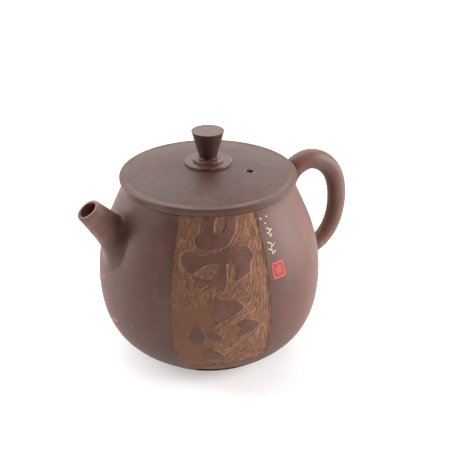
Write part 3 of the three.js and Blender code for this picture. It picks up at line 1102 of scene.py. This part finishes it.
# The relief's islands and the windows cut back into them: outlines of (across, height), across at the
# belly's radius from the middle of the panel. The knife turns softly at each point.
ISLANDS = (
    ((-7.4, 76), (-6.6, 69), (-12.4, 66.4), (-11.4, 63.4), (-7, 61.4), (3, 62.6), (7.6, 67.2), (9.2, 76)),
    ((-9.4, 60), (-14.4, 62), (-17.6, 59.6), (-16.6, 56), (-12.4, 52.8), (-6, 56.8), (4.4, 56.8), (3, 62)),
    ((2.6, 62.9), (12.6, 62.4), (15.4, 58.6), (12.4, 56), (12.8, 53.2), (5.4, 49.6), (7.4, 55.4), (4, 58)),
    (
        *((-12.8, 53.4), (-8.8, 47.2), (-4.8, 50.4), (0.8, 46), (2.3, 50)),
        *((2.4, 57.4), (-1, 57), (-1, 52.6), (-7, 51.4)),
    ),
    ((-2.4, 44.8), (2.4, 42.8), (6.2, 43), (9.2, 39.2), (-3.8, 31.8), (-1.4, 35), (-5, 37.4)),
    ((5.4, 32.8), (10.4, 34.4), (15.8, 31.2), (13.4, 28.6), (5, 25.6), (8, 30)),
    ((-11.6, 32.4), (-8.4, 31.8), (-6.4, 27.2), (-7.6, 22.4), (-12.8, 24.2), (-14.2, 27)),
    ((-7, 28.2), (-3.8, 29.8), (0.4, 27.2), (0, 24.8), (-4, 25)),
    ((-9, 17), (-5.4, 21.2), (-1.6, 19.8), (1.6, 16), (-3, 14.6)),
    ((-24, 20), (-18.6, 18.6), (-17.2, 14), (-16.4, 8), (-13, 4), (-13, 1), (-24, 1)),
)
WINDOWS = (
    ((-2.8, 67.8), (-1.4, 74), (4.2, 74), (3.8, 69.4), (0.6, 67.6)),
    ((-10.8, 53), (-7.2, 56.6), (-2, 55.4), (-1.4, 52.8), (-6, 52.4)),
    ((0.4, 62.8), (2, 60.4), (0.2, 61.2)),
)
BANK_HEIGHT = 10.2
HATCH_SPACING = 0.85


def closed_line(outline):
    """An outline with soft corners, as arrays across and along the wall."""
    points = [(across, float(np.interp(height, WALL_HEIGHTS, WALL_RUNS))) for across, height in outline]
    return np.array(rounded([(*point, 1.7) for point in points], closed=True)[:-1])


def outline_distance(across, run, line):
    """Signed distance from many points to a closed line, negative inside it."""
    distance = np.full(across.shape, 1e9)
    crossings = np.zeros(across.shape, int)
    for (ax, ay), (bx, by) in zip(line, np.roll(line, -1, axis=0)):
        dx, dy = bx - ax, by - ay
        t = np.clip(((across - ax) * dx + (run - ay) * dy) / (dx * dx + dy * dy + 1e-12), 0, 1)
        distance = np.minimum(distance, np.hypot(across - ax - t * dx, run - ay - t * dy))
        if ay != by:
            crossings += ((run > ay) != (run > by)) & (across < ax + (run - ay) * dx / dy)
    return np.where(crossings % 2, -distance, distance)


def island_distance(across, run):
    """Signed distance to the relief's islands and its wavy bank, negative on them."""
    distance = np.full(across.shape, 50.0)
    for outline in ISLANDS:
        distance = np.minimum(distance, outline_distance(across, run, closed_line(outline)))
    for outline in WINDOWS:
        distance = np.maximum(distance, -outline_distance(across, run, closed_line(outline)))
    middle = np.interp(BANK_HEIGHT, WALL_HEIGHTS, WALL_RUNS) + 0.09 * across + 0.5 * np.sin(across / 4.2 + 1)
    bank = np.maximum(np.abs(run - middle) - 1.5 - 0.05 * across, -14 - across)
    return np.minimum(distance, bank)


class Hatching:
    """Short straight chisel strokes, laid in patches that each have their own direction."""

    def __init__(self):
        draw = random.Random(11)
        self.patches = []
        for row in range(12):
            for column in range(6):
                x = (column - 2.5) * 7.4 + draw.uniform(-2.5, 2.5)
                y = 3 + row * 7.4 + draw.uniform(-2.5, 2.5)
                lean = 66 if y > 50 else 58 if y > 28 else 46
                lean = 84 if abs(x) > 14 and y > 30 else lean
                self.patches.append((x, y, math.radians(lean + draw.uniform(-11, 11))))

    def depth(self, x, y):
        """0 on a ridge, 1 at the bottom of a stroke."""
        px, py, lean = min(self.patches, key=lambda p: (x - p[0]) ** 2 + 0.5 * (y - p[1]) ** 2)
        u = (x - px) * math.sin(lean) - (y - py) * math.cos(lean)
        v = (x - px) * math.cos(lean) + (y - py) * math.sin(lean)
        phase = u / HATCH_SPACING + 1.1 * noise.noise((u / 2.6 + px, v / 6, py))
        stroke = math.floor(phase)
        wave = 1 - abs(2 * (phase - stroke) - 1)
        cut_in = 0.62 + 1.0 * noise.noise((v / 2.6, stroke * 3.7 + px, py))
        return min(1, max(0, wave * min(1.1, max(0.12, cut_in))))


def smoothstep(low, high, value):
    t = min(1, max(0, (value - low) / (high - low)))
    return t * t * (3 - 2 * t)


class TEAPOT_OT_panel(Operator):
    """Builds the carved front panel: hatched ground, smooth islands and a wavy bank at the foot"""

    bl_idname = "teapot.panel"
    bl_label = "Carved panel"

    COLUMNS = 176
    ROWS = 300

    def execute(self, context):
        front = self.front()
        back = self.back()
        start_alone()
        front.select_set(True)
        back.select_set(True)
        bpy.context.view_layer.objects.active = front
        bpy.ops.object.join()
        bpy.ops.object.mode_set(mode="EDIT")
        bpy.ops.mesh.select_mode(type="EDGE")
        bpy.ops.mesh.select_all(action="DESELECT")
        bpy.ops.mesh.select_non_manifold()
        bpy.ops.mesh.bridge_edge_loops()
        bpy.ops.mesh.select_all(action="SELECT")
        bpy.ops.mesh.normals_make_consistent(inside=False)
        bpy.ops.object.mode_set(mode="OBJECT")
        bpy.ops.object.shade_smooth_by_angle(angle=math.radians(60))
        piece = new_piece("carved_panel_clay")
        dress(piece, panel_clay(), "pot", "panel_clay", "carved_panel")
        return {"FINISHED"}

    def front(self):
        """The carved face, with the relief kept as attributes for the material."""
        start_alone()
        bpy.ops.mesh.primitive_grid_add(x_subdivisions=self.COLUMNS, y_subdivisions=self.ROWS, size=1)
        piece = new_piece("carved_panel_clay")
        hatching = Hatching()
        deep = settings().cut / MM
        low, high = (np.interp(height, WALL_HEIGHTS, WALL_RUNS) for height in (BASE_HIGH.z + 0.2, RIM))
        places = np.array([vertex.co for vertex in piece.data.vertices]) + 0.5
        for axis, count in ((0, self.COLUMNS), (1, self.ROWS)):
            place = places[:, axis]
            place[np.abs(place - 1 / count) < 1e-5] = 1e-4
            place[np.abs(place - 1 + 1 / count) < 1e-5] = 1 - 1e-4
        turns = (2 * places[:, 0] - 1) * PANEL_HALF
        runs = low + (high - low) * places[:, 1]
        heights = np.interp(runs, WALL_RUNS, WALL_HEIGHTS)
        distances = island_distance(turns * BELLY, runs)
        marks = {name: [] for name in ("island", "edge", "cut", "warm")}
        for vertex, place, turn, run, height, distance in zip(
            piece.data.vertices, places, turns, runs, heights, distances
        ):
            x = turn * BELLY
            border = min(place[0], 1 - place[0], place[1], 1 - place[1]) < 2e-5
            inwards = min(turn + PANEL_HALF, PANEL_HALF - turn) * BELLY
            distance += 0.16 * noise.noise((x / 0.9, run / 0.9, 4))
            island = 1 - smoothstep(-0.1, 0.22, distance)
            quiet = 1 - 0.55 * smoothstep(-1, -7, x) * smoothstep(52, 40, run)
            stroke = hatching.depth(x, run) * quiet + 0.4 * (1 - quiet)
            uneven = 0.1 * noise.noise((x / 5, run / 5, 2))
            ground = deep * (0.8 + uneven) * (0.25 + 0.75 * smoothstep(0, 1.2, inwards))
            ground += 0.24 * (stroke - 0.4)
            # A painted highlight along the islands' outlines, where the outline is also lifted a little.
            burr = max(0, 0.55 + 0.9 * noise.noise((x / 2.4, run / 2.4, 7)))
            edge = burr * math.exp(-(((distance - 0.12) / 0.2) ** 2))
            swell = 0.04 * noise.noise((x / 9, run / 9, 5))
            depth = ground * (1 - island) - 0.07 * edge + 0.02 + swell * island
            depth = RECESS - 0.05 if border else max(0.0, depth)
            vertex.co = wall_point(PANEL_TURN + turn, height, depth) * MM
            marks["island"].append(island)
            marks["edge"].append(edge)
            marks["cut"].append(stroke)
            patches = max(0, 0.5 + 0.9 * noise.noise((x / 4, run / 3, 8)))
            marks["warm"].append(smoothstep(21, 10, run) * patches)
        for name, values in marks.items():
            layer = piece.data.attributes.new(name, "FLOAT", "POINT")
            layer.data.foreach_set("value", np.array(values, np.float32))
        return piece

    def back(self):
        """A plain skin close behind the front, which closes the panel."""
        start_alone()
        bpy.ops.mesh.primitive_grid_add(x_subdivisions=24, y_subdivisions=30, size=1)
        piece = new_piece("panel_back")
        low, high = BASE_HIGH.z + 0.2, RIM
        for vertex in piece.data.vertices:
            turn = PANEL_TURN + 2 * vertex.co.x * PANEL_HALF
            height = low + (high - low) * (vertex.co.y + 0.5)
            vertex.co = wall_point(turn, height, RECESS) * MM
        return piece


# ---------- inlays ----------


def brush(name, path, width):
    """A stroke of slip that follows the wall along [turn, height] points and tapers at its ends."""
    count, lift = 14, 0.07
    profile = ((-1, -0.2), (-0.92, lift * 0.7), (-0.5, lift), (0.5, lift), (0.92, lift * 0.7), (1, -0.2))
    line, _ = smooth_line([(math.radians(t) * BELLY, h) for t, h in path], count)
    tangents = np.gradient(line, axis=0)
    rings = []
    for i, ((x, h), (dx, dh)) in enumerate(zip(line, tangents)):
        size = math.hypot(dx, dh)
        nx, nh = -dh / size, dx / size
        t = i / (count - 1)
        half = width / 2 * (0.5 + 0.5 * math.sin(math.pi * (0.12 + 0.8 * t)) ** 0.7)
        if i in (0, count - 1):
            half *= 0.05
        ring = []
        for across, rise in profile:
            turn = (x + nx * half * across) / BELLY
            ring.append(wall_point(turn, h + nh * half * across, -rise))
        rings.append(ring)
    ends = [[sum(ring, Vector()) / len(ring)] * len(ring) for ring in (rings[0], rings[-1])]
    return loft(name, [ends[0], *rings, ends[1]], smooth=60)


def dot(name, turn, height, size):
    return brush(name, [(turn - size / 2, height + 0.18), (turn, height), (turn + size / 2, height - 0.2)], 0.6)


def sprig(name, turn, height, rise, leaf):
    """A stem with small leaves that leave it on both sides in turn."""
    parts = [brush(name, [(turn, height), (turn + 0.1, height + rise / 2), (turn + 0.6, height + rise)], 0.3)]
    for i, t in enumerate((0.12, 0.38, 0.64, 0.88)):
        side = -1 if i % 2 else 1
        root = (turn + 0.6 * t, height + rise * t)
        tip = (root[0] + side * leaf, root[1] + 0.9)
        bend = ((root[0] + tip[0]) / 2, (root[1] + tip[1]) / 2 - 0.15)
        parts.append(brush(name, [root, bend, tip], 0.42))
    return join(name, parts)


def blossom_seal(name, turn, height, half):
    """A square frame round an open blossom, with a small leaf in each corner."""
    at = lambda x, y: (turn + math.degrees(x * half / BELLY), height + y * half)
    corners = [(-1, -1), (1, -1), (1, 1), (-1, 1)]
    parts = []
    for (ax, ay), (bx, by) in zip(corners, corners[1:] + corners[:1]):
        over = 1.06
        ends = [at(ax * over, ay * over), at((ax + bx) * 0.5, (ay + by) * 0.5), at(bx * over, by * over)]
        parts.append(brush(name, ends, 0.62))
    polar = lambda r, a: at(r * math.cos(a), r * math.sin(a))
    for i in range(6):
        angle = math.pi * i / 3 + math.pi / 6
        for side in (-0.42, 0.42):
            petal = [polar(0.12, angle), polar(0.5, angle + side), polar(0.76, angle)]
            parts.append(brush(name, petal, 0.4))
    for x, y in corners:
        leaf = [at(0.92 * x, 0.5 * y), at(0.74 * x, 0.74 * y), at(0.5 * x, 0.92 * y)]
        parts.append(brush(name, leaf, 0.36))
    return join(name, parts)


CREAM_DOTS = {"cream_bud_1": (8.65, 70.35), "cream_bud_2": (13.25, 70.5), "cream_bud_3": (11.3, 68.3)}
RED_STROKES = {
    "red_leaf_1": (((-104.2, 46), (-105, 40), (-103.2, 33)), 1.0),
    "red_leaf_2": (((-96, 29.5), (-92, 26.5), (-89.6, 24.6)), 0.9),
    "red_leaf_3": (((-88, 20.6), (-83.6, 22), (-80.6, 22.6)), 1.1),
    "red_leaf_4": (((-84.4, 19.6), (-81.8, 18.2), (-79, 16.6)), 0.7),
    "red_leaf_5": (((-119, 43), (-124.5, 38.6), (-128, 36)), 1.0),
    "red_leaf_6": (((-117, 33), (-122, 27.4), (-124, 23)), 1.0),
    "red_bud": (((-94, 39.5), (-93.4, 38.8), (-92.8, 38.1)), 1.5),
    "red_stem": (((-117, 49), (-113.6, 40), (-111.4, 30), (-110.6, 21)), 0.7),
}


class TEAPOT_OT_inlays(Operator):
    """Lays the cream sprigs, the red sprig and the red blossom seal into the wall"""

    bl_idname = "teapot.inlays"
    bl_label = "Inlays"

    def execute(self, context):
        tones = context.scene.teapot_clay
        cream = slip("cream_slip", tones.cream)
        red = slip("red_slip", tones.red)
        for node, (turn, height) in CREAM_DOTS.items():
            dress(dot(f"{node}_slip", turn, height, 0.9), cream, "pot", "cream_slip", node)
        upper = sprig("cream_sprig_upper_slip", 12.4, 62.9, 3.4, 1.8)
        dress(upper, cream, "pot", "cream_slip", "cream_sprig_upper")
        lower = sprig("cream_sprig_lower_slip", 11.3, 56.7, 4.8, 2.4)
        dress(lower, cream, "pot", "cream_slip", "cream_sprig_lower")
        for node, (path, width) in RED_STROKES.items():
            dress(brush(f"{node}_slip", path, width), red, "pot", "red_slip", node)
        seal = blossom_seal("red_blossom_seal_slip", 13.1, 50.7, 2.8)
        dress(seal, red, "pot", "red_slip", "red_blossom_seal")
        return {"FINISHED"}


# ---------- stage ----------


class TEAPOT_OT_stage(Operator):
    """Sets up the white table, the soft lights and the camera"""

    bl_idname = "teapot.stage"
    bl_label = "Stage"

    def execute(self, context):
        self.table()
        self.surroundings(context.scene)
        self.light("top_softbox", (0.12, 0.65, 0.92), (0, 0, 0.03), (1.7, 1.3), 16.0)
        self.light("left_softbox", (-0.75, 0.5, 0.4), (0, 0, 0.04), (0.35, 0.8), 9.0)
        self.light("front_softbox", (0.05, -0.6, 0.9), (0, 0, 0.05), (0.4, 0.4), 2.0)
        self.light("right_softbox", (0.88, -0.45, 0.32), (0, 0, 0.04), (0.6, 0.6), 15.0)
        self.camera(context.scene)
        context.scene.view_settings.view_transform = "Standard"
        return {"FINISHED"}

    def table(self):
        start_alone()
        bpy.ops.mesh.primitive_plane_add(size=6, location=(0, 0, -0.0002))
        table = new_piece("table")
        shader = Shader("white_table")
        table.data.materials.append(
            shader.finish(
                Base_Color=(0.6, 0.59, 0.585, 1),
                Roughness=0.9,
                Emission_Color=(1, 1, 1, 1),
                Emission_Strength=0.445,
            )
        )

    def surroundings(self, scene):
        """White all round, brighter to the camera than to the clay."""
        world = bpy.data.worlds.new("white_tent")
        world.use_nodes = True
        tree = world.node_tree
        scene.world = world
        eye = add_node(tree, "ShaderNodeLightPath", {}, {}, "Is Camera Ray")
        towards = add_node(tree, "ShaderNodeTexCoord", {}, {}, "Generated")
        inputs = {0: towards, 1: (0.42, 0.91, 0.1)}
        behind = add_node(tree, "ShaderNodeVectorMath", {"operation": "DOT_PRODUCT"}, inputs, "Value")
        names = ("Value", "From Min", "From Max", "To Min", "To Max")
        ramp = dict(zip(names, (behind, -0.2, 0.8, 0.06, 1.1)))
        sweep = add_node(tree, "ShaderNodeMapRange", {"interpolation_type": "SMOOTHSTEP"}, ramp)
        strength = eye + sweep * (1 - eye)
        background = tree.nodes["Background"]
        background.inputs["Color"].default_value = (1, 1, 1, 1)
        tree.links.new(strength.socket, background.inputs["Strength"])

    def light(self, name, place, target, size, power):
        start_alone()
        bpy.ops.object.light_add(type="AREA", location=place)
        lamp = bpy.context.active_object
        lamp.name = lamp.data.name = name
        lamp.data.shape = "RECTANGLE"
        lamp.data.size, lamp.data.size_y = size
        lamp.data.energy = power
        lamp.rotation_euler = (Vector(target) - Vector(place)).to_track_quat("-Z", "Y").to_euler()

    def camera(self, scene):
        """Looks at the middle of the belly from the front left, a little above."""
        stage = scene.teapot_stage
        azimuth, elevation = stage.azimuth, stage.elevation
        roll = math.radians(-0.66)
        aim_right, aim_up = math.radians(0.883), math.radians(0.436)
        target = Vector((0, 0, 49.5)) * MM
        back = Vector(
            (
                math.sin(azimuth) * math.cos(elevation),
                -math.cos(azimuth) * math.cos(elevation),
                math.sin(elevation),
            )
        )
        right = Vector((math.cos(azimuth), math.sin(azimuth), 0))
        up = back.cross(right)
        right, up = (
            right * math.cos(roll) + up * math.sin(roll),
            up * math.cos(roll) - right * math.sin(roll),
        )
        towards = Vector((-math.tan(aim_right), -math.tan(aim_up), -1))
        offset = towards.rotation_difference(Vector((0, 0, -1))).to_matrix()
        facing = Matrix((right, up, back)).transposed() @ offset
        start_alone()
        bpy.ops.object.camera_add()
        camera = bpy.context.active_object
        camera.name = "camera"
        camera.data.lens = stage.lens
        camera.matrix_world = Matrix.Translation(target + back * stage.distance) @ facing.to_4x4()
        scene.camera = camera


# ---------- add-on ----------

BUILDERS = (
    TEAPOT_OT_stage,
    TEAPOT_OT_wall,
    TEAPOT_OT_spout,
    TEAPOT_OT_strainer,
    TEAPOT_OT_handle,
    TEAPOT_OT_lid,
    TEAPOT_OT_knob,
    TEAPOT_OT_panel,
    TEAPOT_OT_inlays,
)


class TEAPOT_PT_sidebar(Panel):
    """Lists the teapot's settings and the steps that build it"""

    bl_idname = "TEAPOT_PT_sidebar"
    bl_label = "Yixing Teapot"
    bl_space_type = "VIEW_3D"
    bl_region_type = "UI"
    bl_category = "Teapot"

    def draw(self, context):
        layout = self.layout
        for name in SETTINGS:
            group = getattr(context.scene, name)
            for key in group.__annotations__:
                layout.prop(group, key)
        for builder in BUILDERS:
            layout.operator(builder.bl_idname)


SETTINGS = {"teapot_clay": TeapotClay, "teapot_shape": TeapotShape, "teapot_stage": TeapotStage}
CLASSES = (*SETTINGS.values(), *BUILDERS, TEAPOT_PT_sidebar)


def register():
    for item in CLASSES:
        bpy.utils.register_class(item)
    for name, group in SETTINGS.items():
        setattr(bpy.types.Scene, name, PointerProperty(type=group))


def unregister():
    for name in SETTINGS:
        delattr(bpy.types.Scene, name)
    for item in reversed(CLASSES):
        bpy.utils.unregister_class(item)


def main():
    register()
    for builder in BUILDERS:
        group, name = builder.bl_idname.split(".")
        getattr(getattr(bpy.ops, group), name)()


if __name__ == "__main__":
    main()
